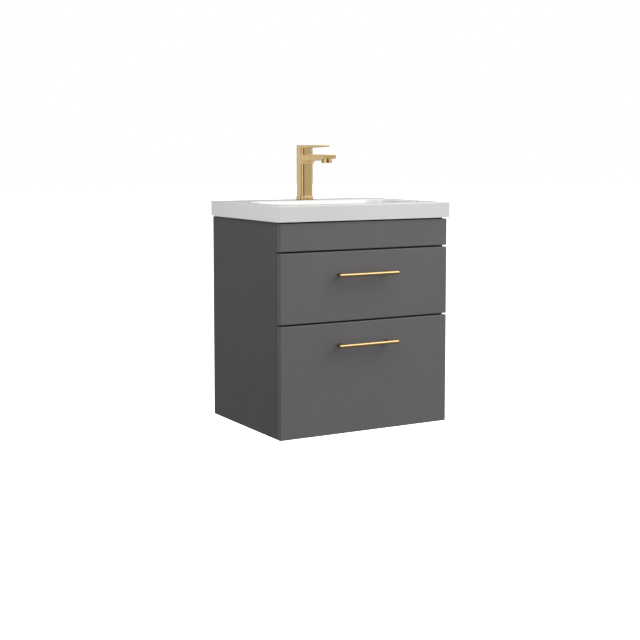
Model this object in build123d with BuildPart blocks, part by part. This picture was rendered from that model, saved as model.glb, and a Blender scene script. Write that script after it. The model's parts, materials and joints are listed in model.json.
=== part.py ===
from build123d import *
import os
from math import atan2, degrees

# Wall-hung bathroom vanity cabinet: two drawers, a ceramic basin and a single-lever basin tap.
# The origin is on the wall, at the centre of the four wall-plate screws. X runs to the right,
# Y into the wall and Z up, so the fronts face -Y. All sizes are in millimetres.

# ---- cabinet ----
CABINET_WIDTH = 497.0
CABINET_HEIGHT = 540.0
CARCASS_DEPTH = 365.0
BOARD = 16.0
HANGING_HEIGHT = 490.0  # from the cabinet's underside up to the wall-plate screws' centre
BACK_RAIL_SETBACK = 34.0  # space for the hangers and pipes between the wall and the back rails
UPPER_RAIL_HEIGHT = 110.0
LOWER_RAIL_HEIGHT = 80.0
FRONT_RAIL_HEIGHT = 84.0
MIDDLE_RAIL_HEIGHT = 56.0
MIDDLE_RAIL_LAP = 20.0  # above the lower edge of the upper drawer's front

# ---- fronts ----
FRONT_THICKNESS = 18.0
FRONT_STANDOFF = 2.0  # from the carcass to the back of the fronts
FRONT_EDGE_RADIUS = 2.0
REVEAL = 4.0  # gap between one front and the next
LOWER_FRONT_HEIGHT = 284.4
UPPER_FRONT_HEIGHT = 176.4
FASCIA_HEIGHT = 69.7

# ---- handles ----
HANDLE_LENGTH = 175.0
HANDLE_RADIUS = 5.0
HANDLE_STANDOFF = 33.0  # from the front's face to the bar's axis
HANDLE_CENTRES = 142.0
HANDLE_X = -12.0
UPPER_HANDLE_DROP = 57.5  # from a front's top edge down to the bar's axis
LOWER_HANDLE_DROP = 55.0
POST_RADIUS = 4.0

# ---- drawers and runners ----
RUNNER_LENGTH = 300.0
RUNNER_HEIGHT = 36.0
LOWER_RUNNER_BASE = 30.0  # above the cabinet's underside
UPPER_RUNNER_BASE = 314.0
UPPER_SIDE_HEIGHT = 86.0
LOWER_SIDE_HEIGHT = 170.0
SHEET = 1.2  # folded steel
DRAWER_BOTTOM = 16.0
DRAWER_TRAVEL_NOTCH = 71.0  # depth of the upper drawer's bottom in front of its pipe cut-out
NOTCH_HALF_WIDTH = 95.0
SURROUND_WALL = 3.0

# ---- basin ----
BASIN_WIDTH = 510.0
BASIN_DEPTH = 390.0
RIM_HEIGHT = 40.0
BEAD = 2.0  # silicone between the cabinet and the basin
BASIN_CORNER = 2.5
RIM_EDGE_RADIUS = 2.0
SKIRT_WALL = 20.0
DECK_THICKNESS = 14.0
BOWL_WIDTH = 430.0
BOWL_LENGTH = 230.0
BOWL_FRONT_RIM = 50.0
BOWL_DEPTH = 105.0
BOWL_CORNER = 60.0
BOWL_DRAFT = 20.0  # how far each wall slopes in from the top to the bottom
BOWL_FLOOR_RADIUS = 26.0
MOUTH_RADIUS = 5.0
CERAMIC = 12.0
OVERFLOW_DROP = 34.0
OVERFLOW_RADIUS = 11.0

# ---- waste ----
WASTE_RADIUS = 20.95  # outside of a G 1 1/4 thread
WASTE_BORE = 17.0
WASTE_TAIL = 95.0  # below the bowl's floor
TAIL_FREE_LENGTH = 55.0  # plain end that takes the trap
TAIL_GROOVE = 2.0  # thread runout above the plain end
TAIL_GROOVE_RADIUS = 20.4
WASTE_FLANGE_RADIUS = 31.5

# ---- tap ----
TAP_Y = -62.0
TAP_WIDTH = 36.0
TAP_CORNER = 7.0
TAP_BASE_WIDTH = 40.0
TAP_BASE_HEIGHT = 8.0
TAP_BODY_HEIGHT = 123.6
TAP_SEAL = 0.8
SPOUT_REACH = 140.0  # from the tap's axis to the tip of the spout
SPOUT_TIP = 10.0
SPOUT_ROOT = 17.5
AERATOR_REACH = 120.0
AERATOR_RADIUS = 14.0
LEVER_GAP = 0.5
LEVER_HEIGHT = 24.9
LEVER_REACH = 106.0
LEVER_TIP = 4.0
LEVER_ROOT = 7.4

# ---- small fits and fixings ----
FIT = 0.05  # running clearance on a radius
SCREW_RADIUS = 2.0
PAN_HEAD_RADIUS = 4.0
PAN_HEAD = 2.0
DOWEL_RADIUS = 4.0
DOWEL_LENGTH = 30.0


def up(height):
    """Turns a height above the cabinet's underside into z."""
    return height - HANGING_HEIGHT


# ---- worked-out positions ----
inner_x = CABINET_WIDTH / 2 - BOARD
carcass_front = -CARCASS_DEPTH
front_back_face = carcass_front - FRONT_STANDOFF
front_face = front_back_face - FRONT_THICKNESS
cabinet_bottom = up(0)
cabinet_top = up(CABINET_HEIGHT)
upper_front_base = LOWER_FRONT_HEIGHT + REVEAL
fascia_base = upper_front_base + UPPER_FRONT_HEIGHT + REVEAL
rail_front = -BACK_RAIL_SETBACK - BOARD
middle_rail_top = up(upper_front_base + MIDDLE_RAIL_LAP)
drawer_back = front_back_face + RUNNER_LENGTH
rim_bottom = cabinet_top + BEAD
rim_top = rim_bottom + RIM_HEIGHT
bowl_y = -BASIN_DEPTH + BOWL_FRONT_RIM + BOWL_LENGTH / 2
bowl_floor = rim_top - BOWL_DEPTH
bowl_slope = BOWL_DRAFT / BOWL_DEPTH
tap_base = rim_top + TAP_SEAL
tap_body_top = rim_top + TAP_BODY_HEIGHT
lever_base = tap_body_top + LEVER_GAP
lever_top = lever_base + LEVER_HEIGHT
LOW = (Align.MIN, Align.MIN, Align.MIN)
UP = (Align.CENTER, Align.CENTER, Align.MIN)

os.makedirs("parts", exist_ok=True)


def save(builder, node):
    """Labels a finished piece and writes it."""
    builder.part.label = node
    export_step(builder.part, f"parts/{node}.step")


def block(x_span, y_span, z_span, mode=Mode.ADD):
    """A box between two corners, added to or cut from the piece being built."""
    with Locations((x_span[0], y_span[0], z_span[0])):
        Box(x_span[1] - x_span[0], y_span[1] - y_span[0], z_span[1] - z_span[0], align=LOW, mode=mode)


def rod(points, radius, length, along="Z", mode=Mode.ADD):
    """Cylinders centred on the points, with their axes along X, Y or Z."""
    turn = {"X": (0, 90, 0), "Y": (90, 0, 0), "Z": (0, 0, 0)}[along]
    with Locations(*[Location(point, turn) for point in points]):
        Cylinder(radius, length, mode=mode)


def along_y(points, y_span):
    """Points given as (x, z), moved to the middle of a span of Y."""
    return [(x, sum(y_span) / 2, z) for x, z in points]


# ==== carcass ====
BOTTOM_DOWEL_SETBACKS = (35, 165, 285)  # from the carcass's front
LOWER_RAIL_DOWEL_RISES = (20, 60)
UPPER_RAIL_DOWEL_DROPS = (42, 95)
FRONT_RAIL_DOWEL_DROPS = (18, 50)
MIDDLE_RAIL_DOWEL_DROPS = (14, 42)
DOWEL_IN_RAIL = 20.0  # the rest of each dowel is in the side panel
rail_middle = -BACK_RAIL_SETBACK - BOARD / 2
dowels_bottom = [(carcass_front + setback, up(BOARD / 2)) for setback in BOTTOM_DOWEL_SETBACKS]
dowels_lower_rail = [(rail_middle, up(BOARD + rise)) for rise in LOWER_RAIL_DOWEL_RISES]
dowels_upper_rail = [(rail_middle, cabinet_top - drop) for drop in UPPER_RAIL_DOWEL_DROPS]
front_rail_dowel_zs = [cabinet_top - drop for drop in FRONT_RAIL_DOWEL_DROPS]
front_rail_dowel_zs += [middle_rail_top - drop for drop in MIDDLE_RAIL_DOWEL_DROPS]
dowels_front_rails = [(carcass_front + BOARD / 2, z) for z in front_rail_dowel_zs]
dowels_all = dowels_bottom + dowels_lower_rail + dowels_upper_rail + dowels_front_rails
dowel_x = inner_x - DOWEL_IN_RAIL + DOWEL_LENGTH / 2


def dowel_points(yz_points):
    return [(side * dowel_x, y, z) for side in (-1, 1) for y, z in yz_points]


# Runner and hanger screws go into the inner faces of the side panels.
RUNNER_SCREW_SETBACKS = (37, 165, 261)
runner_screw_y = [front_back_face + setback for setback in RUNNER_SCREW_SETBACKS]
runner_bases = [up(LOWER_RUNNER_BASE), up(UPPER_RUNNER_BASE)]
RUNNER_SCREW_RISE = 27.0
RUNNER_SCREW_DEPTH = 11.0
HANGER_SCREW_Y = -22.0
HANGER_SCREW_Z = -20.0
HANGER_SCREW_DEPTH = 11.0
runner_screw_yz = [(y, base + RUNNER_SCREW_RISE) for base in runner_bases for y in runner_screw_y]

for name, side in (("left", -1), ("right", 1)):
    with BuildPart() as side_panel:
        outer = side * CABINET_WIDTH / 2
        inner = side * inner_x
        block(sorted((outer, inner)), (carcass_front, 0), (cabinet_bottom, cabinet_top))
        chamfer(side_panel.edges().filter_by(Axis.Z).group_by(Axis.Y)[0], 0.5)
        rod([(side * dowel_x, y, z) for y, z in dowels_all], DOWEL_RADIUS + FIT, DOWEL_LENGTH + 1, "X",
            Mode.SUBTRACT)
        rod([(side * inner_x, y, z) for y, z in runner_screw_yz], SCREW_RADIUS + FIT,
            2 * RUNNER_SCREW_DEPTH, "X", Mode.SUBTRACT)
        rod([(side * inner_x, HANGER_SCREW_Y, HANGER_SCREW_Z)], SCREW_RADIUS + FIT, 2 * HANGER_SCREW_DEPTH,
            "X", Mode.SUBTRACT)
    save(side_panel, f"side_panel_{name}")

with BuildPart() as bottom_panel:
    block((-inner_x, inner_x), (carcass_front, -BACK_RAIL_SETBACK), (cabinet_bottom, up(BOARD)))
    rod(dowel_points(dowels_bottom), DOWEL_RADIUS + FIT, DOWEL_LENGTH + 1, "X", Mode.SUBTRACT)
save(bottom_panel, "bottom_panel")

with BuildPart() as back_rail_lower:
    block((-inner_x, inner_x), (rail_front, -BACK_RAIL_SETBACK), (up(BOARD), up(BOARD + LOWER_RAIL_HEIGHT)))
    rod(dowel_points(dowels_lower_rail), DOWEL_RADIUS + FIT, DOWEL_LENGTH + 1, "X", Mode.SUBTRACT)
save(back_rail_lower, "back_rail_lower")

# Each hanger has two adjusting screws, reached through two holes in the upper back rail.
HANGER_X = 219.0
HANGER_HALF_WIDTH = 12.5
HANGER_HEAD_RECESS = 6.0
ADJUSTER_X = 224.0
ADJUSTER_HEIGHTS = (24.0, -4.0)
ADJUSTER_RADIUS = 4.0
ACCESS_RADIUS = 6.0
adjuster_xz = [(side * ADJUSTER_X, z) for side in (-1, 1) for z in ADJUSTER_HEIGHTS]

with BuildPart() as back_rail_upper:
    block((-inner_x, inner_x), (rail_front, -BACK_RAIL_SETBACK),
          (cabinet_top - UPPER_RAIL_HEIGHT, cabinet_top))
    rod(along_y(adjuster_xz, (rail_front, -BACK_RAIL_SETBACK)), ACCESS_RADIUS, 2 * BOARD, "Y", Mode.SUBTRACT)
    rod(dowel_points(dowels_upper_rail), DOWEL_RADIUS + FIT, DOWEL_LENGTH + 1, "X", Mode.SUBTRACT)
save(back_rail_upper, "back_rail_upper")

with BuildPart() as carcass_dowels:
    rod(dowel_points(dowels_all), DOWEL_RADIUS, DOWEL_LENGTH, "X")
save(carcass_dowels, "carcass_dowels")

# The fixed fascia is screwed on from behind, through the top front rail. A second front rail crosses
# behind the gap between the two drawer fronts.
FASCIA_SCREW_LENGTH = 28.0
FASCIA_SCREW_XS = (-180, -60, 60, 180)
fascia_screw_xz = [(x, up(fascia_base + FASCIA_HEIGHT / 2)) for x in FASCIA_SCREW_XS]
rail_back_face = carcass_front + BOARD
screw_span = (rail_back_face - FASCIA_SCREW_LENGTH, rail_back_face)

with BuildPart() as front_rails:
    for top, height in ((cabinet_top, FRONT_RAIL_HEIGHT), (middle_rail_top, MIDDLE_RAIL_HEIGHT)):
        block((-inner_x, inner_x), (carcass_front, rail_back_face), (top - height, top))
    rod(along_y(fascia_screw_xz, (carcass_front, rail_back_face)), SCREW_RADIUS + FIT, 2 * BOARD, "Y",
        Mode.SUBTRACT)
    rod(dowel_points(dowels_front_rails), DOWEL_RADIUS + FIT, DOWEL_LENGTH + 1, "X", Mode.SUBTRACT)
save(front_rails, "front_rails")


def front_board(base, height):
    """The board of a drawer front or the fascia, added to the piece being built."""
    block((-CABINET_WIDTH / 2, CABINET_WIDTH / 2), (front_face, front_back_face),
          (up(base), up(base + height)))


with BuildPart() as fascia_panel:
    front_board(fascia_base, FASCIA_HEIGHT)
    fillet(fascia_panel.edges().group_by(Axis.Y)[0], FRONT_EDGE_RADIUS)
    rod(along_y(fascia_screw_xz, screw_span), SCREW_RADIUS + FIT, FASCIA_SCREW_LENGTH + 1, "Y",
        Mode.SUBTRACT)
save(fascia_panel, "fascia_panel")

with BuildPart() as fascia_screws:
    rod(along_y(fascia_screw_xz, screw_span), SCREW_RADIUS, FASCIA_SCREW_LENGTH, "Y")
    rod([(x, rail_back_face + PAN_HEAD / 2, z) for x, z in fascia_screw_xz], PAN_HEAD_RADIUS, PAN_HEAD, "Y")
save(fascia_screws, "fascia_screws")

# Soft pads on the carcass's front edges: thick ones carry the fascia, thin ones stop the drawers.
PAD_RADIUS = 4.5
DRAWER_PAD = 1.6
DRAWER_PAD_RISES = (14, 270, 303, 450)  # above the cabinet's underside
FASCIA_PAD_RISES = (12, 58)  # above the fascia's lower edge
pad_x = CABINET_WIDTH / 2 - BOARD / 2

with BuildPart() as front_buffers:
    rod([(side * pad_x, carcass_front - DRAWER_PAD / 2, up(rise)) for side in (-1, 1)
         for rise in DRAWER_PAD_RISES], PAD_RADIUS, DRAWER_PAD, "Y")
    rod([(side * pad_x, carcass_front - FRONT_STANDOFF / 2, up(fascia_base + rise)) for side in (-1, 1)
         for rise in FASCIA_PAD_RISES], PAD_RADIUS, FRONT_STANDOFF, "Y")
save(front_buffers, "front_buffers")

# ==== wall plates and hangers ====
PLATE_X = 205.0
PLATE_HALF_WIDTH = 18.0
PLATE_THICKNESS = 2.5
PLATE_HOLE_X = 196.0  # clear of the hangers
PLATE_HOLE_RISE = 15.0
PLATE_HOLE_RADIUS = 3.0
LIP_STANDOFF = 6.5
LIP_TOP = 43.0
LIP_STEP = 24.0
PLATE_BOTTOM = -26.0
HOOK_X = 215.0
HOOK_THICKNESS = 4.0
HOOK_DOWNTURN = 3.0
HOOK_ARM = 3.0
SLOT_CLEARANCE = 0.1

for name, side in (("left", -1), ("right", 1)):
    plate_span = sorted((side * (PLATE_X - PLATE_HALF_WIDTH), side * (PLATE_X + PLATE_HALF_WIDTH)))
    with BuildPart() as wall_plate:
        block(plate_span, (-PLATE_THICKNESS, 0), (PLATE_BOTTOM, LIP_STEP))
        block(plate_span, (-LIP_STANDOFF - PLATE_THICKNESS, 0), (LIP_STEP, LIP_STEP + PLATE_THICKNESS))
        block(plate_span, (-LIP_STANDOFF - PLATE_THICKNESS, -LIP_STANDOFF), (LIP_STEP, LIP_TOP))
        rod([(side * PLATE_HOLE_X, 0, z) for z in (-PLATE_HOLE_RISE, PLATE_HOLE_RISE)], PLATE_HOLE_RADIUS,
            4 * PLATE_THICKNESS, "Y", Mode.SUBTRACT)
    save(wall_plate, f"wall_plate_{name}")

HOOK_GAP = 0.3  # between the hook and the lip it hangs on
HOOK_REACH = 10.0  # how far the hook turns down behind the lip
hook_back = -LIP_STANDOFF + 0.5
hook_wall_face = hook_back + HOOK_DOWNTURN
hook_seat = LIP_TOP + HOOK_GAP
hook_top = hook_seat + HOOK_ARM
BODY_FRONT = -33.0
BODY_BACK = -12.0
BODY_BOTTOM = -30.0
ADJUSTER_LENGTH = 14.0
CROSS_RECESS = 2.5
CROSS_WIDTH = 1.2
adjuster_y = BODY_FRONT + ADJUSTER_LENGTH / 2
HOOK_FRONT = -30.0
HOOK_SHANK_BACK = -20.0
HOOK_FOOT = 12.0

with BuildPart() as hanger_hooks:
    for side in (-1, 1):
        with BuildSketch(Plane.YZ.offset(side * HOOK_X)):
            with BuildLine():
                Polyline((HOOK_FRONT, HOOK_FOOT), (HOOK_FRONT, hook_top), (hook_wall_face, hook_top),
                         (hook_wall_face, LIP_TOP - HOOK_REACH), (hook_back, LIP_TOP - HOOK_REACH),
                         (hook_back, hook_seat), (HOOK_SHANK_BACK, hook_seat),
                         (HOOK_SHANK_BACK, HOOK_FOOT), close=True)
            make_face()
        extrude(amount=HOOK_THICKNESS / 2, both=True)
save(hanger_hooks, "hanger_hooks")

for name, side in (("left", -1), ("right", 1)):
    with BuildPart() as hanger_body:
        block(sorted((side * (HANGER_X - HANGER_HALF_WIDTH), side * inner_x)), (BODY_FRONT, BODY_BACK),
              (BODY_BOTTOM, cabinet_top - 2))
        fillet(hanger_body.edges().filter_by(Axis.Y), 2.0)
        slot_half = HOOK_THICKNESS / 2 + SLOT_CLEARANCE
        block((side * HOOK_X - slot_half, side * HOOK_X + slot_half),
              (HOOK_FRONT - SLOT_CLEARANCE, BODY_BACK), (HOOK_FOOT - SLOT_CLEARANCE, cabinet_top),
              Mode.SUBTRACT)
        rod([(side * ADJUSTER_X, adjuster_y, z) for z in ADJUSTER_HEIGHTS], ADJUSTER_RADIUS + FIT,
            ADJUSTER_LENGTH + 0.2, "Y", Mode.SUBTRACT)
        rod([(side * inner_x, HANGER_SCREW_Y, HANGER_SCREW_Z)], SCREW_RADIUS + FIT, 4 * HANGER_HALF_WIDTH,
            "X", Mode.SUBTRACT)
        rod([(side * (HANGER_X - HANGER_HALF_WIDTH), HANGER_SCREW_Y, HANGER_SCREW_Z)], PAN_HEAD_RADIUS + 1,
            2 * HANGER_HEAD_RECESS, "X", Mode.SUBTRACT)
    save(hanger_body, f"hanger_body_{name}")

with BuildPart() as hanger_adjusters:
    rod([(x, adjuster_y, z) for x, z in adjuster_xz], ADJUSTER_RADIUS, ADJUSTER_LENGTH, "Y")
    for x, z in adjuster_xz:
        for half_x, half_z in ((CROSS_RECESS, CROSS_WIDTH / 2), (CROSS_WIDTH / 2, CROSS_RECESS)):
            block((x - half_x, x + half_x), (BODY_FRONT, BODY_FRONT + CROSS_RECESS),
                  (z - half_z, z + half_z), Mode.SUBTRACT)
save(hanger_adjusters, "hanger_adjusters")

HANGER_SCREW_LENGTH = 30.0
RUNNER_HEAD_RADIUS = 3.6
RUNNER_HEAD = 1.8
hanger_head_x = HANGER_X - HANGER_HALF_WIDTH + HANGER_HEAD_RECESS - 1

with BuildPart() as side_panel_screws:
    for side in (-1, 1):
        rod([(side * (inner_x - SHEET + RUNNER_SCREW_DEPTH / 2), y, z) for y, z in runner_screw_yz],
            SCREW_RADIUS, RUNNER_SCREW_DEPTH, "X")
        rod([(side * (inner_x - SHEET - RUNNER_HEAD / 2), y, z) for y, z in runner_screw_yz],
            RUNNER_HEAD_RADIUS, RUNNER_HEAD, "X")
        rod([(side * (hanger_head_x + HANGER_SCREW_LENGTH / 2), HANGER_SCREW_Y, HANGER_SCREW_Z)],
            SCREW_RADIUS, HANGER_SCREW_LENGTH, "X")
        rod([(side * (hanger_head_x - PAN_HEAD / 2), HANGER_SCREW_Y, HANGER_SCREW_Z)], PAN_HEAD_RADIUS,
            PAN_HEAD, "X")
save(side_panel_screws, "side_panel_screws")

# ==== drawer runners ====
# Sections across a runner are drawn inwards from the side panel's inner face and up from its foot.
RUNNER_WIDTH = 20.0
RUNNER_LIP = 5.0
MIDDLE_SPAN = (3.0, 17.0)
MIDDLE_RISE = (3.0, 15.0)
SADDLE_SPAN = (1.6, 18.4)
SADDLE_RISE = (5.5, 18.0)
SADDLE_SHEET = 1.0
WALL_SPAN = (5.0, 18.0)
LEDGE_WIDTH = 12.0


def across(side, base, points):
    """Section points (inward, rise) as (x, z) on one side of the cabinet."""
    return [(side * (inner_x - inward), base + rise) for inward, rise in points]


def section_extrusion(outlines, holes=()):
    """Outlines in XZ, less the holes, extruded along the runner's length."""
    with BuildPart() as profile:
        with BuildSketch(Plane.XZ.offset(-drawer_back)):
            for outline in outlines:
                with BuildLine():
                    Polyline(*outline, close=True)
                make_face()
            for hole in holes:
                with BuildLine():
                    Polyline(*hole, close=True)
                make_face(mode=Mode.SUBTRACT)
        extrude(amount=RUNNER_LENGTH)
    return profile


def rectangle_points(span, rise):
    return [(span[0], rise[0]), (span[1], rise[0]), (span[1], rise[1]), (span[0], rise[1])]


runner_outline = [(0, 0), (RUNNER_WIDTH, 0), (RUNNER_WIDTH, RUNNER_LIP), (RUNNER_WIDTH - SHEET, RUNNER_LIP),
                  (RUNNER_WIDTH - SHEET, SHEET), (SHEET, SHEET), (SHEET, RUNNER_HEIGHT), (0, RUNNER_HEIGHT)]

for level, base in (("lower", runner_bases[0]), ("upper", runner_bases[1])):
    for name, side in (("left", -1), ("right", 1)):
        runner = section_extrusion([across(side, base, runner_outline)])
        with runner:
            rod([(side * inner_x, y, base + RUNNER_SCREW_RISE) for y in runner_screw_y],
                SCREW_RADIUS + FIT, 4 * SHEET, "X", Mode.SUBTRACT)
        save(runner, f"{level}_runner_{name}")

middle_outer = rectangle_points(MIDDLE_SPAN, MIDDLE_RISE)
middle_inner = rectangle_points((MIDDLE_SPAN[0] + SHEET, MIDDLE_SPAN[1] - SHEET),
                                (MIDDLE_RISE[0] + SHEET, MIDDLE_RISE[1]))

for level, base in (("lower", runner_bases[0]), ("upper", runner_bases[1])):
    middle_slides = section_extrusion([across(side, base, middle_outer) for side in (-1, 1)],
                                      [across(side, base, middle_inner) for side in (-1, 1)])
    save(middle_slides, f"{level}_middle_slides")

# ==== drawers ====
TAB_WIDTH = 14.0
TAB_RISE = (44.0, 76.0)
TAB_SCREW_RISES = (52.0, 68.0)
FRONT_SCREW_LENGTH = 14.0
HANDLE_SCREW_HEAD_RADIUS = 4.2
HANDLE_SCREW_HEAD = 2.5
TAB_SCREW_HEAD_RADIUS = 3.8
HANDLE_SCREW_GRIP = 8.0  # thread inside a handle post
tab_x = inner_x - WALL_SPAN[1] - TAB_WIDTH / 2
bottom_half_width = inner_x - WALL_SPAN[1] - 0.5
notch_front = front_back_face + DRAWER_TRAVEL_NOTCH
handle_xs = [HANDLE_X - HANDLE_CENTRES / 2, HANDLE_X + HANDLE_CENTRES / 2]
handle_y = front_face - HANDLE_STANDOFF


def drawer_side(side, base, wall_height):
    """A hollow steel drawer side with its saddle over the middle slide and a ledge for the bottom."""
    saddle = [(SADDLE_SPAN[0], SADDLE_RISE[0]), (SADDLE_SPAN[0] + SADDLE_SHEET, SADDLE_RISE[0]),
              (SADDLE_SPAN[0] + SADDLE_SHEET, SADDLE_RISE[1] - SHEET),
              (SADDLE_SPAN[1] - SADDLE_SHEET, SADDLE_RISE[1] - SHEET),
              (SADDLE_SPAN[1] - SADDLE_SHEET, SADDLE_RISE[0]), (SADDLE_SPAN[1], SADDLE_RISE[0]),
              (SADDLE_SPAN[1], SADDLE_RISE[1]), (SADDLE_SPAN[0], SADDLE_RISE[1])]
    wall_rise = (SADDLE_RISE[1], SADDLE_RISE[1] + wall_height)
    wall = rectangle_points(WALL_SPAN, wall_rise)
    ledge_rise = (wall_rise[0], wall_rise[0] + SHEET)
    ledge = rectangle_points((WALL_SPAN[0], WALL_SPAN[1] + LEDGE_WIDTH), ledge_rise)
    hollow = rectangle_points((WALL_SPAN[0] + SHEET, WALL_SPAN[1] - SHEET),
                              (wall_rise[0] + SHEET, wall_rise[1] - SHEET))
    steel_side = section_extrusion([across(side, base, outline) for outline in (saddle, wall, ledge)],
                                   [across(side, base, hollow)])
    tab_inner = side * (inner_x - WALL_SPAN[1] - TAB_WIDTH)
    with steel_side:
        block(sorted((side * (inner_x - WALL_SPAN[1]), tab_inner)),
              (front_back_face, front_back_face + SHEET), (base + TAB_RISE[0], base + TAB_RISE[1]))
        rod([(side * tab_x, front_back_face, base + rise) for rise in TAB_SCREW_RISES],
            SCREW_RADIUS + FIT, 4 * SHEET, "Y", Mode.SUBTRACT)
    return steel_side


def drawer_front(level, base_height, height, bar_z, runner_base):
    """The visible front board, drilled for its handle and its fixing screws."""
    with BuildPart() as front:
        front_board(base_height, height)
        fillet(front.edges().group_by(Axis.Y)[0], FRONT_EDGE_RADIUS)
        rod([(x, front_face + FRONT_THICKNESS / 2, bar_z) for x in handle_xs], SCREW_RADIUS + FIT,
            FRONT_THICKNESS + 2, "Y", Mode.SUBTRACT)
        rod([(side * tab_x, front_back_face, runner_base + rise) for side in (-1, 1)
             for rise in TAB_SCREW_RISES], SCREW_RADIUS + FIT, 2 * FRONT_SCREW_LENGTH, "Y", Mode.SUBTRACT)
    save(front, f"{level}_drawer_front")


def handle(level, bar_z):
    """A round bar on two posts."""
    with BuildPart() as bar:
        rod([(HANDLE_X, handle_y, bar_z)], HANDLE_RADIUS, HANDLE_LENGTH, "X")
        fillet(bar.edges().filter_by(GeomType.CIRCLE), 0.8)
    save(bar, f"{level}_handle_bar")
    with BuildPart() as posts:
        rod([(x, (front_face + handle_y) / 2, bar_z) for x in handle_xs], POST_RADIUS, HANDLE_STANDOFF, "Y")
        rod([(HANDLE_X, handle_y, bar_z)], HANDLE_RADIUS, HANDLE_LENGTH, "X", Mode.SUBTRACT)
        rod([(x, front_face, bar_z) for x in handle_xs], SCREW_RADIUS + FIT, 2 * HANDLE_SCREW_GRIP + 1, "Y",
            Mode.SUBTRACT)
    save(posts, f"{level}_handle_posts")


def drawer_screws(level, bar_z, runner_base):
    """Handle screws from behind the front, and the screws through the tabs of the sides."""
    head_face = front_back_face
    handle_screw = FRONT_THICKNESS + HANDLE_SCREW_GRIP
    tab_face = front_back_face + SHEET
    tab_points = [(side * tab_x, runner_base + rise) for side in (-1, 1) for rise in TAB_SCREW_RISES]
    with BuildPart() as screws:
        rod([(x, head_face - handle_screw / 2, bar_z) for x in handle_xs], SCREW_RADIUS, handle_screw, "Y")
        rod([(x, head_face + HANDLE_SCREW_HEAD / 2, bar_z) for x in handle_xs], HANDLE_SCREW_HEAD_RADIUS,
            HANDLE_SCREW_HEAD, "Y")
        rod([(x, tab_face - FRONT_SCREW_LENGTH / 2, z) for x, z in tab_points], SCREW_RADIUS,
            FRONT_SCREW_LENGTH, "Y")
        rod([(x, tab_face + PAN_HEAD / 2, z) for x, z in tab_points], TAB_SCREW_HEAD_RADIUS, PAN_HEAD, "Y")
    save(screws, f"{level}_drawer_screws")


levels = {
    "lower": (0.0, LOWER_FRONT_HEIGHT, LOWER_HANDLE_DROP, runner_bases[0], LOWER_SIDE_HEIGHT),
    "upper": (upper_front_base, UPPER_FRONT_HEIGHT, UPPER_HANDLE_DROP, runner_bases[1], UPPER_SIDE_HEIGHT),
}

for level, (front_base, front_height, drop, runner_base, side_height) in levels.items():
    bar_z = up(front_base + front_height - drop)
    bottom_z = runner_base + SADDLE_RISE[1] + SHEET
    wall_top = runner_base + SADDLE_RISE[1] + side_height
    drawer_front(level, front_base, front_height, bar_z, runner_base)
    handle(level, bar_z)
    drawer_screws(level, bar_z, runner_base)
    for name, side in (("left", -1), ("right", 1)):
        save(drawer_side(side, runner_base, side_height), f"{level}_drawer_side_{name}")

    with BuildPart() as drawer_bottom:
        block((-bottom_half_width, bottom_half_width), (front_back_face, drawer_back),
              (bottom_z, bottom_z + DRAWER_BOTTOM))
        if level == "upper":
            block((-NOTCH_HALF_WIDTH, NOTCH_HALF_WIDTH), (notch_front, drawer_back + 1),
                  (bottom_z - 1, bottom_z + DRAWER_BOTTOM + 1), Mode.SUBTRACT)
    save(drawer_bottom, f"{level}_drawer_bottom")

    with BuildPart() as drawer_back_board:
        block((-bottom_half_width, bottom_half_width), (drawer_back - BOARD, drawer_back),
              (bottom_z + DRAWER_BOTTOM, wall_top))
        if level == "upper":
            block((-NOTCH_HALF_WIDTH, NOTCH_HALF_WIDTH), (drawer_back - BOARD - 1, drawer_back + 1),
                  (bottom_z, wall_top + 1), Mode.SUBTRACT)
    save(drawer_back_board, f"{level}_drawer_back")

# A moulded wall lines the pipe cut-out in the upper drawer.
surround_z = runner_bases[1] + SADDLE_RISE[1] + SHEET
surround_height = UPPER_SIDE_HEIGHT - 6
with BuildPart() as cutout_surround:
    block((-NOTCH_HALF_WIDTH, NOTCH_HALF_WIDTH), (notch_front, drawer_back),
          (surround_z, surround_z + surround_height))
    block((-NOTCH_HALF_WIDTH + SURROUND_WALL, NOTCH_HALF_WIDTH - SURROUND_WALL),
          (notch_front + SURROUND_WALL, drawer_back + 1), (surround_z - 1, surround_z + surround_height + 1),
          Mode.SUBTRACT)
save(cutout_surround, "upper_cutout_surround")

# ==== basin ====
overflow_z = rim_top - OVERFLOW_DROP
CHANNEL_WALL = 8.0
CHANNEL_TOP = 24.0  # below the rim's top
CHANNEL_FLOOR = 17.0  # below the bowl's floor
BOSS_LAP = 4.0  # how far the boss runs into the bowl's wall and floor
BOSS_ROOF = 2.0  # above the channel
BOSS_RADIUS = 36.0  # around the waste
boss_outer = CERAMIC + CHANNEL_WALL + 6


def back_wall_y(z, outward=0.0):
    """Y of the bowl's sloping back wall at a height, moved outward from the bowl."""
    return bowl_y + BOWL_LENGTH / 2 - (rim_top - z) * bowl_slope + outward


channel_top = rim_top - CHANNEL_TOP
channel_floor = bowl_floor - CHANNEL_FLOOR
channel_roof = bowl_floor - CHANNEL_FLOOR + CHANNEL_WALL
boss_floor = channel_floor - CHANNEL_WALL
boss_top = channel_top + BOSS_ROOF
boss_seat = bowl_floor - BOSS_LAP
channel_inner = CERAMIC - 2
channel_outer = channel_inner + CHANNEL_WALL
draft_angle = degrees(atan2(BOWL_DRAFT, BOWL_DEPTH))
CHANNEL_HALF_WIDTH = 14.0
BOSS_HALF_WIDTH = 22.0
WASTE_HOLE = 23.0
TAP_HOLE = 17.5

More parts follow.
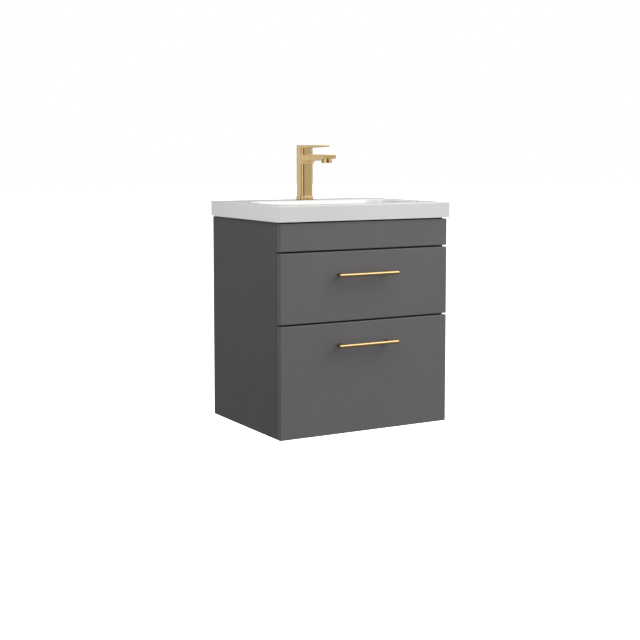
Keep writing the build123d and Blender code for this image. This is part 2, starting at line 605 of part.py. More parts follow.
with BuildPart() as basin:
    with BuildSketch(Plane.XY.offset(rim_bottom)):
        with Locations((0, -BASIN_DEPTH / 2)):
            RectangleRounded(BASIN_WIDTH, BASIN_DEPTH, BASIN_CORNER)
    extrude(amount=RIM_HEIGHT)
    fillet(basin.edges().group_by(Axis.Z)[-1], RIM_EDGE_RADIUS)
    # the underside is hollow between the skirt and the bowl
    with BuildSketch(Plane.XY.offset(rim_bottom)):
        with Locations((0, -BASIN_DEPTH / 2)):
            RectangleRounded(BASIN_WIDTH - 2 * SKIRT_WALL, BASIN_DEPTH - 2 * SKIRT_WALL, BASIN_CORNER)
    extrude(amount=RIM_HEIGHT - DECK_THICKNESS, mode=Mode.SUBTRACT)
    # outside of the bowl
    with BuildSketch(Plane.XY.offset(rim_top - DECK_THICKNESS / 2)):
        with Locations((0, bowl_y)):
            RectangleRounded(BOWL_WIDTH + 2 * CERAMIC, BOWL_LENGTH + 2 * CERAMIC, BOWL_CORNER + CERAMIC)
    extrude(amount=-BOWL_DEPTH - CERAMIC + DECK_THICKNESS / 2, taper=draft_angle)
    # overflow channel, down the back of the bowl and under its floor to the waste
    with BuildSketch(Plane.YZ):
        with BuildLine():
            Polyline((back_wall_y(boss_top, BOSS_LAP), boss_top),
                     (back_wall_y(boss_top, boss_outer), boss_top),
                     (back_wall_y(boss_floor, boss_outer), boss_floor), (bowl_y, boss_floor),
                     (bowl_y, boss_seat), (back_wall_y(boss_seat, BOSS_LAP), boss_seat), close=True)
        make_face()
    extrude(amount=BOSS_HALF_WIDTH, both=True)
    with Locations((0, bowl_y, boss_floor)):
        Cylinder(BOSS_RADIUS, boss_seat - boss_floor, align=UP)
    # inside of the bowl
    with BuildSketch(Plane.XY.offset(rim_top)):
        with Locations((0, bowl_y)):
            RectangleRounded(BOWL_WIDTH, BOWL_LENGTH, BOWL_CORNER)
    extrude(amount=-BOWL_DEPTH, taper=draft_angle, mode=Mode.SUBTRACT)
    floor_face = basin.faces().filter_by(Plane.XY).filter_by(lambda f: abs(f.center().Z - bowl_floor) < 0.01)
    fillet(floor_face.edges(), BOWL_FLOOR_RADIUS)
    mouth = basin.faces().group_by(Axis.Z)[-1].face().inner_wires()
    fillet(mouth.edges(), MOUTH_RADIUS)
    rod([(0, bowl_y, bowl_floor)], WASTE_HOLE, 2 * BOWL_DEPTH, "Z", Mode.SUBTRACT)
    rod([(0, TAP_Y, rim_top)], TAP_HOLE, 4 * DECK_THICKNESS, "Z", Mode.SUBTRACT)
    with BuildSketch(Plane.YZ):
        with BuildLine():
            Polyline((back_wall_y(channel_top, channel_inner), channel_top),
                     (back_wall_y(channel_top, channel_outer), channel_top),
                     (back_wall_y(channel_floor, channel_outer), channel_floor), (bowl_y, channel_floor),
                     (bowl_y, channel_roof), (back_wall_y(channel_roof, channel_inner), channel_roof),
                     close=True)
        make_face()
    extrude(amount=CHANNEL_HALF_WIDTH, both=True, mode=Mode.SUBTRACT)
    overflow_plane = Plane(origin=(0, back_wall_y(overflow_z), overflow_z), x_dir=(1, 0, 0),
                           z_dir=(0, -1, bowl_slope))
    with BuildSketch(overflow_plane):
        Circle(OVERFLOW_RADIUS)
    extrude(amount=-channel_inner - BOSS_ROOF, mode=Mode.SUBTRACT)
save(basin, "basin")

RING_THICKNESS = 1.4
RING_LIP = 3.0
RING_SLEEVE = 8.0
RING_WALL = 2.0
with BuildPart() as overflow_ring:
    with BuildSketch(overflow_plane.offset(RING_THICKNESS)):
        Circle(OVERFLOW_RADIUS + RING_LIP)
    extrude(amount=-RING_THICKNESS)
    fillet(overflow_ring.edges().filter_by(GeomType.CIRCLE).group_by(Axis.Y)[0], 0.8)
    with BuildSketch(overflow_plane):
        Circle(OVERFLOW_RADIUS - FIT)
    extrude(amount=-RING_SLEEVE)
    with BuildSketch(overflow_plane.offset(2 * RING_THICKNESS)):
        Circle(OVERFLOW_RADIUS - RING_WALL)
    extrude(amount=-2 * RING_SLEEVE, mode=Mode.SUBTRACT)
save(overflow_ring, "overflow_ring")

BEAD_WIDTH = 8.0
BEAD_SETBACK = 6.5  # from the side panel's face to the middle of the bead
bead_x = CABINET_WIDTH / 2 - BEAD_SETBACK
with BuildPart() as silicone_bead:
    for side in (-1, 1):
        block((side * bead_x - BEAD_WIDTH / 2, side * bead_x + BEAD_WIDTH / 2), (carcass_front + 4, -4),
              (cabinet_top, rim_bottom))
save(silicone_bead, "silicone_bead")

# ==== waste ====
SEAL_UPPER = 1.5
FLANGE_THICKNESS = 2.5
SEAL_LOWER = 3.0
NUT_HEIGHT = 9.0
NUT_RADIUS = 30.0
SLOT_RISE = (channel_floor, channel_roof)
SPIDER_Z = bowl_floor - 50
PLUG_STEM = 4.0
GUIDE_WALL = 3.0
GUIDE_LENGTH = 8.0
SLOT_WIDTH = 18.0
waste_end = bowl_floor - WASTE_TAIL
flange_bottom = bowl_floor + SEAL_UPPER
flange_top = flange_bottom + FLANGE_THICKNESS

with BuildPart() as waste_body:
    with Locations((0, bowl_y, waste_end)):
        Cylinder(WASTE_RADIUS, flange_bottom - waste_end, align=UP)
    with Locations((0, bowl_y, flange_bottom)):
        Cylinder(WASTE_FLANGE_RADIUS, FLANGE_THICKNESS, align=UP)
    fillet(waste_body.edges().filter_by(GeomType.CIRCLE).group_by(Axis.Z)[-1], 1.0)
    with BuildSketch(Plane.XY.offset(waste_end + TAIL_FREE_LENGTH)):
        with Locations((0, bowl_y)):
            Circle(WASTE_RADIUS + 1)
            Circle(TAIL_GROOVE_RADIUS, mode=Mode.SUBTRACT)
    extrude(amount=TAIL_GROOVE, mode=Mode.SUBTRACT)
    rod([(0, bowl_y, bowl_floor)], WASTE_BORE, 3 * WASTE_TAIL, "Z", Mode.SUBTRACT)
    # two overflow slots, front and back
    block((-SLOT_WIDTH / 2, SLOT_WIDTH / 2), (bowl_y - 2 * WASTE_RADIUS, bowl_y + 2 * WASTE_RADIUS),
          SLOT_RISE, Mode.SUBTRACT)
    # cross bar with the guide for the plug's stem
    block((-WASTE_BORE - 1, WASTE_BORE + 1), (bowl_y - GUIDE_WALL, bowl_y + GUIDE_WALL),
          (SPIDER_Z, SPIDER_Z + GUIDE_LENGTH))
    with Locations((0, bowl_y, SPIDER_Z)):
        Cylinder(PLUG_STEM + GUIDE_WALL, GUIDE_LENGTH, align=UP)
    rod([(0, bowl_y, SPIDER_Z)], PLUG_STEM + FIT, 3 * GUIDE_LENGTH, "Z", Mode.SUBTRACT)
save(waste_body, "waste_body")

with BuildPart() as waste_seals:
    with Locations((0, bowl_y, bowl_floor)):
        Cylinder(WASTE_FLANGE_RADIUS - 2, SEAL_UPPER, align=UP)
    with Locations((0, bowl_y, boss_floor - SEAL_LOWER)):
        Cylinder(NUT_RADIUS - 1, SEAL_LOWER, align=UP)
    rod([(0, bowl_y, bowl_floor)], WASTE_RADIUS + FIT, 3 * BOWL_DEPTH, "Z", Mode.SUBTRACT)
save(waste_seals, "waste_seals")

with BuildPart() as waste_backnut:
    with BuildSketch(Plane.XY.offset(boss_floor - SEAL_LOWER)):
        with Locations((0, bowl_y)):
            RegularPolygon(NUT_RADIUS, 8)
            Circle(WASTE_RADIUS + FIT, mode=Mode.SUBTRACT)
    extrude(amount=-NUT_HEIGHT)
save(waste_backnut, "waste_backnut")

PLUG_GAP = 0.4
PLUG_RADIUS = 30.5
PLUG_CAP = 4.5
PLUG_EDGE_RADIUS = 3.0
PLUG_STEM_END = 4.0  # below the middle of the spider
PLUG_SEAL_LIP = 3.0  # below the flange
plug_bottom = flange_top + PLUG_GAP
with BuildPart() as waste_plug:
    with Locations((0, bowl_y, plug_bottom)):
        Cylinder(PLUG_RADIUS, PLUG_CAP, align=UP)
    fillet(waste_plug.edges().filter_by(GeomType.CIRCLE).group_by(Axis.Z)[-1], PLUG_EDGE_RADIUS)
    with Locations((0, bowl_y, SPIDER_Z - PLUG_STEM_END)):
        Cylinder(PLUG_STEM, plug_bottom - SPIDER_Z + PLUG_STEM_END, align=UP)
save(waste_plug, "waste_plug")

with BuildPart() as waste_plug_seal:
    with Locations((0, bowl_y, flange_bottom - PLUG_SEAL_LIP)):
        Cylinder(WASTE_BORE - 0.5, plug_bottom - flange_bottom + PLUG_SEAL_LIP, align=UP)
    rod([(0, bowl_y, flange_top)], PLUG_STEM, BOWL_DEPTH, "Z", Mode.SUBTRACT)
save(waste_plug_seal, "waste_plug_seal")

# ==== tap ====
half_tap = TAP_WIDTH / 2
CHAMBER_RADIUS = 14.0
CHAMBER_DEPTH = 46.0
cartridge_floor = tap_body_top - CHAMBER_DEPTH
tap_front = TAP_Y - half_tap
spout_tip_y = TAP_Y - SPOUT_REACH
SPOUT_MID_REACH = 75.0
SPOUT_MID_DROP = 15.4
ARCH = 7.0
TAP_END_RADIUS = 2.0
TAP_EDGE_RADIUS = 0.8
BASE_EDGE_RADIUS = 1.2
spout_mid_y = TAP_Y - SPOUT_MID_REACH
AERATOR_NECK = 12.0
AERATOR_WALL = 2.0
AERATOR_COLLAR = 8.6
AERATOR_NECK_TOP = tap_body_top - 4.6
AERATOR_BOTTOM = tap_body_top - 21.8
PORT_RADIUS = 4.5
PORT_DEPTH = 14.0
PORT_SPACING = 17.0
PORT_OFFSET = 6.0  # in front of the tap's axis
WATERWAY_RADIUS = 3.0
STUD_RADIUS = 4.0
STUD_OFFSET = 8.0  # behind the tap's axis
CARTRIDGE_FIT = 0.1
port_points = [(side * PORT_SPACING / 2, TAP_Y - PORT_OFFSET) for side in (-1, 1)]
stud_y = TAP_Y + STUD_OFFSET
aerator_y = TAP_Y - AERATOR_REACH
SPOUT_PASSAGE = 3.5
PASSAGE_DROP = 6.4  # from the body's top down to the passage
passage_z = tap_body_top - PASSAGE_DROP

with BuildPart() as tap_body:
    with BuildSketch(Plane.XY.offset(tap_base)):
        with Locations((0, TAP_Y)):
            RectangleRounded(TAP_BASE_WIDTH, TAP_BASE_WIDTH, TAP_CORNER + (TAP_BASE_WIDTH - TAP_WIDTH) / 2)
    extrude(amount=TAP_BASE_HEIGHT)
    fillet(tap_body.edges().group_by(Axis.Z)[-1], BASE_EDGE_RADIUS)
    with BuildSketch(Plane.XY.offset(tap_base)):
        with Locations((0, TAP_Y)):
            RectangleRounded(TAP_WIDTH, TAP_WIDTH, TAP_CORNER)
    extrude(amount=tap_body_top - tap_base)
    # spout: flat on top, thinning towards its tip, with an arched root
    with BuildSketch(Plane.YZ):
        with BuildLine():
            Polyline((TAP_Y, tap_body_top), (spout_tip_y, tap_body_top),
                     (spout_tip_y, tap_body_top - SPOUT_TIP), (spout_mid_y, tap_body_top - SPOUT_MID_DROP),
                     (tap_front - ARCH, tap_body_top - SPOUT_ROOT))
            RadiusArc((tap_front - ARCH, tap_body_top - SPOUT_ROOT),
                      (tap_front, tap_body_top - SPOUT_ROOT - ARCH), 1.1 * ARCH)
            Polyline((tap_front, tap_body_top - SPOUT_ROOT - ARCH),
                     (TAP_Y, tap_body_top - SPOUT_ROOT - ARCH), (TAP_Y, tap_body_top))
        make_face()
    extrude(amount=half_tap, both=True)
    fillet(tap_body.edges().filter_by(Axis.Z).group_by(Axis.Y)[0], TAP_END_RADIUS)
    fillet(tap_body.edges().group_by(Axis.Z)[-1], TAP_EDGE_RADIUS)
    rod([(0, TAP_Y, tap_body_top)], CHAMBER_RADIUS, 2 * CHAMBER_DEPTH, "Z", Mode.SUBTRACT)
    rod([(0, aerator_y, AERATOR_NECK_TOP - TAP_WIDTH)], AERATOR_NECK + FIT, 2 * TAP_WIDTH, "Z",
        Mode.SUBTRACT)
    rod([(0, (TAP_Y + aerator_y) / 2, passage_z)], SPOUT_PASSAGE, AERATOR_REACH, "Y", Mode.SUBTRACT)
    rod([(x, y, tap_base) for x, y in port_points], PORT_RADIUS, 2 * PORT_DEPTH, "Z", Mode.SUBTRACT)
    rod([(x, y, cartridge_floor) for x, y in port_points], WATERWAY_RADIUS, 2 * (cartridge_floor - tap_base),
        "Z", Mode.SUBTRACT)
    rod([(0, stud_y, tap_base)], STUD_RADIUS, 2 * PORT_DEPTH, "Z", Mode.SUBTRACT)
save(tap_body, "tap_body")

with BuildPart() as tap_base_seal:
    with BuildSketch(Plane.XY.offset(rim_top)):
        with Locations((0, TAP_Y)):
            RectangleRounded(TAP_BASE_WIDTH - 1, TAP_BASE_WIDTH - 1, TAP_CORNER)
            Circle(TAP_HOLE - 1, mode=Mode.SUBTRACT)
    extrude(amount=tap_base - rim_top)
save(tap_base_seal, "tap_base_seal")

CARTRIDGE_SHOULDER = 8.6  # below the body's top
NUT_SINK = 0.6
POCKET_DEPTH = 6.0  # of the water ways in the cartridge
NECK_RADIUS = 10.0
NECK_DROP = 2.5  # from the body's top down to the cartridge's neck
STEM_BORE = 7.0
STEM_BORE_DEPTH = 18.0
with BuildPart() as tap_cartridge:
    with Locations((0, TAP_Y, cartridge_floor)):
        Cylinder(CHAMBER_RADIUS - CARTRIDGE_FIT, CHAMBER_DEPTH - CARTRIDGE_SHOULDER, align=UP)
        Cylinder(NECK_RADIUS, CHAMBER_DEPTH - NECK_DROP, align=UP)
    rod([(0, TAP_Y, tap_body_top)], STEM_BORE, 2 * STEM_BORE_DEPTH, "Z", Mode.SUBTRACT)
    rod([(x, y, cartridge_floor) for x, y in port_points], WATERWAY_RADIUS, 2 * POCKET_DEPTH, "Z",
        Mode.SUBTRACT)
save(tap_cartridge, "tap_cartridge")

with BuildPart() as tap_cartridge_nut:
    with Locations((0, TAP_Y, tap_body_top - CARTRIDGE_SHOULDER)):
        Cylinder(CHAMBER_RADIUS - CARTRIDGE_FIT, CARTRIDGE_SHOULDER - NUT_SINK, align=UP)
    rod([(0, TAP_Y, tap_body_top)], NECK_RADIUS + CARTRIDGE_FIT, 2 * CHAMBER_DEPTH, "Z", Mode.SUBTRACT)
save(tap_cartridge_nut, "tap_cartridge_nut")

# The stem turns with the lever and carries the trunnions that the lever lifts on. Behind them the
# lever's base is cut away, so that it can tip back without touching the body.
STEM_WIDTH = 8.0
STEM_DEPTH = 14.0  # below the body's top
PIVOT_Y = TAP_Y + 12
PIVOT_Z = lever_base + 4.5
TRUNNION_RADIUS = 1.6
TRUNNION_HALF = 13.0
CAVITY_HALF = 10.0
CAVITY_FRONT = TAP_Y - 13
CAVITY_BACK = PIVOT_Y + 0.8
CAVITY_TOP = lever_base + 12
STEM_FOOT = (lever_base + 0.2, lever_base + 2.2)
YOKE_SPAN = (PIVOT_Y - 4, PIVOT_Y - 1.2)
YOKE_TOP = PIVOT_Z + 1
yoke_half = CAVITY_HALF - 1

with BuildPart() as tap_stem:
    block((-STEM_WIDTH / 2, STEM_WIDTH / 2), (TAP_Y - STEM_WIDTH / 2, TAP_Y + STEM_WIDTH / 2),
          (tap_body_top - STEM_DEPTH, YOKE_TOP))
    block((-yoke_half, yoke_half), (TAP_Y, YOKE_SPAN[1]), STEM_FOOT)
    block((-yoke_half, yoke_half), YOKE_SPAN, (STEM_FOOT[0], YOKE_TOP))
    rod([(0, PIVOT_Y, PIVOT_Z)], TRUNNION_RADIUS, 2 * TRUNNION_HALF, "X")
save(tap_stem, "tap_stem")

TIP_BACK_CUT = 3.0  # height of the cut at the lever's back
TRUNNION_END_GAP = 0.8
LEVER_SCREW_RADIUS = 2.5
LEVER_SCREW_LENGTH = 2.2
LEVER_SCREW_DEPTH = 3.5
LEVER_SCREW_SINK = 0.6
HEX_SOCKET_RADIUS = 1.4
HEX_SOCKET_DEPTH = 1.4
lever_tip_y = TAP_Y - LEVER_REACH
lever_back = TAP_Y + half_tap
lever_screw_z = lever_base + 9
with BuildPart() as tap_lever:
    with BuildSketch(Plane.XY.offset(lever_base)):
        with Locations((0, TAP_Y)):
            RectangleRounded(TAP_WIDTH, TAP_WIDTH, TAP_CORNER)
    extrude(amount=LEVER_HEIGHT)
    with BuildSketch(Plane.YZ):
        with BuildLine():
            Polyline((TAP_Y, lever_top), (lever_tip_y, lever_top), (lever_tip_y, lever_top - LEVER_TIP),
                     (tap_front, lever_top - LEVER_ROOT), (TAP_Y, lever_top - LEVER_ROOT), close=True)
        make_face()
    extrude(amount=half_tap, both=True)
    fillet(tap_lever.edges().filter_by(Axis.Z).group_by(Axis.Y)[0], TAP_END_RADIUS)
    fillet(tap_lever.edges().group_by(Axis.Z)[-1], TAP_EDGE_RADIUS)
    with BuildSketch(Plane.YZ):
        with BuildLine():
            Polyline((PIVOT_Y + 1, lever_base - 0.1), (lever_back + 0.1, lever_base - 0.1),
                     (lever_back + 0.1, lever_base + TIP_BACK_CUT), close=True)
        make_face()
    extrude(amount=TAP_WIDTH, both=True, mode=Mode.SUBTRACT)
    block((-CAVITY_HALF, CAVITY_HALF), (CAVITY_FRONT, CAVITY_BACK), (lever_base - 1, CAVITY_TOP),
          Mode.SUBTRACT)
    rod([(0, PIVOT_Y, PIVOT_Z)], TRUNNION_RADIUS + FIT, 2 * TRUNNION_HALF + TRUNNION_END_GAP, "X",
        Mode.SUBTRACT)
    rod([(0, lever_back, lever_screw_z)], LEVER_SCREW_RADIUS + FIT, 2 * LEVER_SCREW_DEPTH, "Y",
        Mode.SUBTRACT)
save(tap_lever, "tap_lever")

with BuildPart() as tap_lever_screw:
    rod([(0, lever_back - LEVER_SCREW_SINK - LEVER_SCREW_LENGTH / 2, lever_screw_z)], LEVER_SCREW_RADIUS,
        LEVER_SCREW_LENGTH, "Y")
    with BuildSketch(Plane.XZ.offset(-lever_back)):
        with Locations((0, lever_screw_z)):
            RegularPolygon(HEX_SOCKET_RADIUS, 6)
    extrude(amount=LEVER_SCREW_SINK + HEX_SOCKET_DEPTH, mode=Mode.SUBTRACT)
save(tap_lever_screw, "tap_lever_screw")

with BuildPart() as tap_aerator_housing:
    with Locations((0, aerator_y, AERATOR_BOTTOM)):
        Cylinder(AERATOR_RADIUS, AERATOR_COLLAR, align=UP)
        Cylinder(AERATOR_NECK, AERATOR_NECK_TOP - AERATOR_BOTTOM, align=UP)
    fillet(tap_aerator_housing.edges().filter_by(GeomType.CIRCLE).group_by(Axis.Z)[0], TAP_EDGE_RADIUS)
    rod([(0, aerator_y, AERATOR_BOTTOM)], AERATOR_NECK - AERATOR_WALL, 2 * TAP_WIDTH, "Z", Mode.SUBTRACT)
save(tap_aerator_housing, "tap_aerator_housing")

INSERT_SINK = 1.2
INSERT_THICKNESS = 2.0
INSERT_PITCH = 1.9
INSERT_HOLE = 0.9
with BuildPart() as tap_aerator_insert:
    with BuildSketch(Plane.XY.offset(AERATOR_BOTTOM + INSERT_SINK)):
        with Locations((0, aerator_y)):
            Circle(AERATOR_NECK - AERATOR_WALL - FIT)
            with HexLocations(INSERT_PITCH, 4, 4):
                Circle(INSERT_HOLE, mode=Mode.SUBTRACT)
    extrude(amount=INSERT_THICKNESS)
save(tap_aerator_insert, "tap_aerator_insert")

# ==== tap fixings under the deck ====
WASHER_RADIUS = 24.0
WASHER_THICKNESS = 3.0
STUD_LENGTH = 75.0
FIXING_NUT_RADIUS = 7.5
FIXING_NUT_HEIGHT = 7.0
HOSE_SLOT = (28.0, 26.0)  # opening in the washer for the supply hoses
deck_underside = rim_top - DECK_THICKNESS
with BuildPart() as tap_fixing_washer:
    with BuildSketch(Plane.XY.offset(deck_underside - WASHER_THICKNESS)):
        with Locations((0, TAP_Y)):
            Circle(WASHER_RADIUS)
        with Locations((0, TAP_Y - 1)):
            Rectangle(*HOSE_SLOT, align=(Align.CENTER, Align.MAX), mode=Mode.SUBTRACT)
        with Locations((0, stud_y)):
            Circle(STUD_RADIUS + FIT, mode=Mode.SUBTRACT)
    extrude(amount=WASHER_THICKNESS)
save(tap_fixing_washer, "tap_fixing_washer")

with BuildPart() as tap_fixing_nut:
    with BuildSketch(Plane.XY.offset(deck_underside - WASHER_THICKNESS)):
        with Locations((0, stud_y)):
            RegularPolygon(FIXING_NUT_RADIUS, 6)
            Circle(STUD_RADIUS + FIT, mode=Mode.SUBTRACT)
    extrude(amount=-FIXING_NUT_HEIGHT)
save(tap_fixing_nut, "tap_fixing_nut")

with BuildPart() as tap_fixing_stud:
    with Locations((0, stud_y, tap_base + PORT_DEPTH - STUD_LENGTH)):
        Cylinder(STUD_RADIUS, STUD_LENGTH, align=UP)
save(tap_fixing_stud, "tap_fixing_stud")
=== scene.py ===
import json
import math

import bpy
from mathutils import Euler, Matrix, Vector


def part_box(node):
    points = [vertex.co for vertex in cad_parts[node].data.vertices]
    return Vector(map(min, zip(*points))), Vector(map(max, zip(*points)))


# A wall-hung bathroom vanity cabinet in a white studio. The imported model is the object; this script gives
# each piece its finish, and adds the floor, the lights and the camera.

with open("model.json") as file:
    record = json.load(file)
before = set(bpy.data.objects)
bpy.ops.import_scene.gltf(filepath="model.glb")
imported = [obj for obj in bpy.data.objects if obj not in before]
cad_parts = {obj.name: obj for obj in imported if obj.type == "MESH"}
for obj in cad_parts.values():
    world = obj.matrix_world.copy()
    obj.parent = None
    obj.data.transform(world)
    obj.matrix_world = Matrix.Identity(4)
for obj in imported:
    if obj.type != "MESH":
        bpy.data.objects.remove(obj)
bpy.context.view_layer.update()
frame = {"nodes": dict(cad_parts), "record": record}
NODES = frame["nodes"]
SUBPARTS = frame["record"]["subparts"]

# ---- camera ----
CAMERA_AT = Vector((-1.6834, -3.0844, 0.2261))
CAMERA_YAW = 29.815  # degrees to the right of straight at the wall
CAMERA_PITCH = 5.079  # degrees downwards
CAMERA_LENS = 70.68  # millimetres, as is the sensor
CAMERA_SENSOR = 36.0
CAMERA_SHIFT_Y = -0.09

# ---- studio ----
FLOOR_BELOW_CABINET = 0.27
FLOOR_SIZE = 60.0
FLOOR_TONES = (0.93, 0.96)
BACKDROP = 1.0
OVERHEAD = 1.08
UNDERFOOT = 0.22
# The heights, as the Z of a direction, between which one part of the studio turns into the next.
EYE_TO_HIGH = (0.03, 0.14)
HIGH_TO_OVERHEAD = (0.25, 0.80)
UNDERFOOT_TO_EYE = (-0.36, -0.12)
# Brightness of the walls around the object by direction, in degrees: 0 is in front of it, 90 to its right.
# The brass mirrors the band at eye level; the walls above it light the cabinet.
EYE_LEVEL = [(-180, 0.60), (-158, 0.90), (-144, 0.80), (-134, 0.05), (-106, 0.05), (-92, 1.30), (-40, 1.30),
             (-25, 0.05), (5, 0.05), (18, 0.30), (32, 0.70), (60, 0.95), (100, 0.40), (146, 0.75),
             (162, 0.20), (180, 0.60)]
HIGH_WALLS = [(-180, 0.35), (-150, 0.14), (-90, 0.10), (-45, 0.22), (0, 0.85), (45, 1.10), (90, 0.60),
              (140, 0.50), (162, 0.20), (180, 0.35)]

# The points that the lights face: near the object's middle, and on the basin's left side.
MIDDLE = Vector((0.0, -0.2, -0.1))
BASIN_LEFT = Vector((-0.255, -0.2, 0.07))

# ---- finishes, as linear colours ----
WHITE = (1.0, 1.0, 1.0)
LACQUER_GREY = (0.158, 0.1515, 0.1545)
# Painted shade: the carcass grey is darker than the lacquer grey, standing in for the dim light on the
# cabinet's sides.
SHADED_BOARD_GREY = (0.099, 0.0945, 0.0965)
GLAZE_WHITE = (0.85, 0.85, 0.85)
BRASS = (0.78, 0.56, 0.27)
BRASS_DEEP = (0.62, 0.42, 0.18)
# Painted shade: the handles' brass is a darker copy of the tap's brass, standing in for the dimmer light on
# the handles.
SHADED_BAR_BRASS = (0.56, 0.405, 0.20)
SHADED_BAR_BRASS_DEEP = (0.42, 0.285, 0.125)
DRAWER_STEEL = (0.19, 0.185, 0.187)
DARK_PLASTIC = (0.055, 0.055, 0.057)
PALE_PLASTIC = (0.70, 0.70, 0.68)
SILICONE = (0.66, 0.66, 0.65)
RUBBER_BLACK = (0.022, 0.022, 0.022)
ZINC = (0.60, 0.62, 0.64)
ZINC_SHADE = (0.48, 0.49, 0.50)
BEECH = (0.55, 0.39, 0.23)
BEECH_RING = (0.42, 0.28, 0.15)

# ---- surface detail ----
# Noise scales are per metre. Depths are bump distances in metres.
MOTTLE_SCALE = 9.0
MOTTLE_SPREAD = 0.035  # lighter and darker than the mean colour
GLOSS_SCALE = 55.0
GLOSS_SPREAD = 0.035
PEEL_SCALE = 420.0
PEEL_DEPTH = 0.0004
LACQUER_GRAIN_SCALE = 1900.0
LACQUER_GRAIN_DEPTH = 0.0001
SIDE_SHADE_FACING = (0.6, 0.9)  # how far a face has to face sideways to get the painted side shade
GLAZE_TONE_SCALE = 4.0
GLAZE_TONE_SPREAD = 0.015
GLAZE_GLOSS_SCALE = 30.0
GLAZE_ROUGHNESS = (0.10, 0.17)
GLAZE_WAVE_SCALE = 26.0
GLAZE_WAVE_DEPTH = 0.0006
BRUSH_ALONG = 6.0
BRUSH_ACROSS = 900.0
BRUSH_DEPTH = 0.00008
BRUSH_GLOSSIER = 0.05  # how far a streak's roughness falls and rises
BRUSH_ROUGHER = 0.07
BRUSH_STRETCHES = {
    "X": (BRUSH_ALONG, BRUSH_ACROSS, BRUSH_ACROSS),
    "Y": (BRUSH_ACROSS, BRUSH_ALONG, BRUSH_ACROSS),
    "Z": (BRUSH_ACROSS, BRUSH_ACROSS, BRUSH_ALONG),
}
TOP_FACING = (0.55, 0.8)  # how far a face has to face up or down to count as a top
STREAK_SHARE = 0.30  # of the deep colour, in the deepest streaks
PATINA_SHARE = 0.35
PATINA_SCALE = 38.0
MOULD_TONE_SCALE = 24.0
MOULD_TONE_SPREAD = 0.07
MOULD_GLOSS_SPREAD = 0.05
SKIN_DEPTH = 0.0002
SPANGLE_SCALE = 160.0
ZINC_WEAR_SCALE = 60.0
ZINC_ROUGHNESS = (0.28, 0.44)
WOOD_STRETCH = (0.6, 6.0, 6.0)
RING_SCALE = 60.0
FLECK_SCALE = 500.0
WOOD_ROUGHNESS = (0.5, 0.7)


# ==== node building ====
def node(tree, kind, inputs=None, **properties):
    """Adds a shader node. An input is a value, or a socket to link from."""
    made = tree.nodes.new("ShaderNode" + kind)
    for name, value in properties.items():
        setattr(made, name, value)
    for name, value in (inputs or {}).items():
        socket = made.inputs[name]
        if isinstance(value, bpy.types.NodeSocket):
            tree.links.new(value, socket)
        else:
            socket.default_value = value
    return made


def opaque(colour, share=1.0):
    """A colour with full alpha, made darker or lighter by a share."""
    return (*[channel * share for channel in colour], 1.0)


def surface(name, constants):
    """A material with one Principled shader whose constants sit on its own sockets."""
    material = bpy.data.materials.new(name)
    material.use_nodes = True
    tree = material.node_tree
    shader = tree.nodes["Principled BSDF"]
    for socket, value in constants.items():
        shader.inputs[socket].default_value = value
    return material, tree, shader


def object_space(tree, stretch=(1.0, 1.0, 1.0)):
    """A point on the piece, in metres, scaled along each axis."""
    coordinates = node(tree, "TexCoord")
    return node(tree, "Mapping", {"Vector": coordinates.outputs["Object"], "Scale": stretch}).outputs[0]


def noise(tree, vector, scale, detail=2.0, roughness=0.5):
    """A noise texture's value at a point."""
    inputs = {"Vector": vector, "Scale": scale, "Detail": detail, "Roughness": roughness}
    return node(tree, "TexNoise", inputs).outputs["Fac"]


def ranged(tree, value, low, high, from_low=0.3, from_high=0.7):
    """Maps the middle of a noise's range, or the range given, to low and high."""
    inputs = {"Value": value, "From Min": from_low, "From Max": from_high, "To Min": low, "To Max": high}
    return node(tree, "MapRange", inputs).outputs["Result"]


def facing(tree, axis):
    """How far the surface faces along an axis, from 0 to 1."""
    normal = node(tree, "SeparateXYZ", {"Vector": node(tree, "TexCoord").outputs["Normal"]}).outputs[axis]
    return node(tree, "Math", {0: normal}, operation="ABSOLUTE").outputs[0]


def blend_colours(tree, factor, first, second):
    """Blends two colours, each a value or a socket, by a factor from 0 to 1."""
    made = node(tree, "Mix", data_type="RGBA")
    tree.links.new(factor, made.inputs["Factor"])
    for socket, value in ((made.inputs[6], first), (made.inputs[7], second)):
        if isinstance(value, bpy.types.NodeSocket):
            tree.links.new(value, socket)
        else:
            socket.default_value = value
    return made.outputs[2]


def relief(tree, shader, layers):
    """Chains bumps onto the shader's normal. Each layer is (height socket, strength, depth in metres)."""
    normal = None
    for height, strength, depth in layers:
        inputs = {"Height": height, "Strength": strength, "Distance": depth}
        if normal is not None:
            inputs["Normal"] = normal
        normal = node(tree, "Bump", inputs).outputs["Normal"]
    tree.links.new(normal, shader.inputs["Normal"])


# ==== materials ====
def tone_pair(tree, factor, colour, spread, share=1.0):
    """One colour that drifts a little darker and lighter with the factor."""
    darker = opaque(colour, (1 - spread) * share)
    lighter = opaque(colour, (1 + spread) * share)
    return blend_colours(tree, factor, darker, lighter)


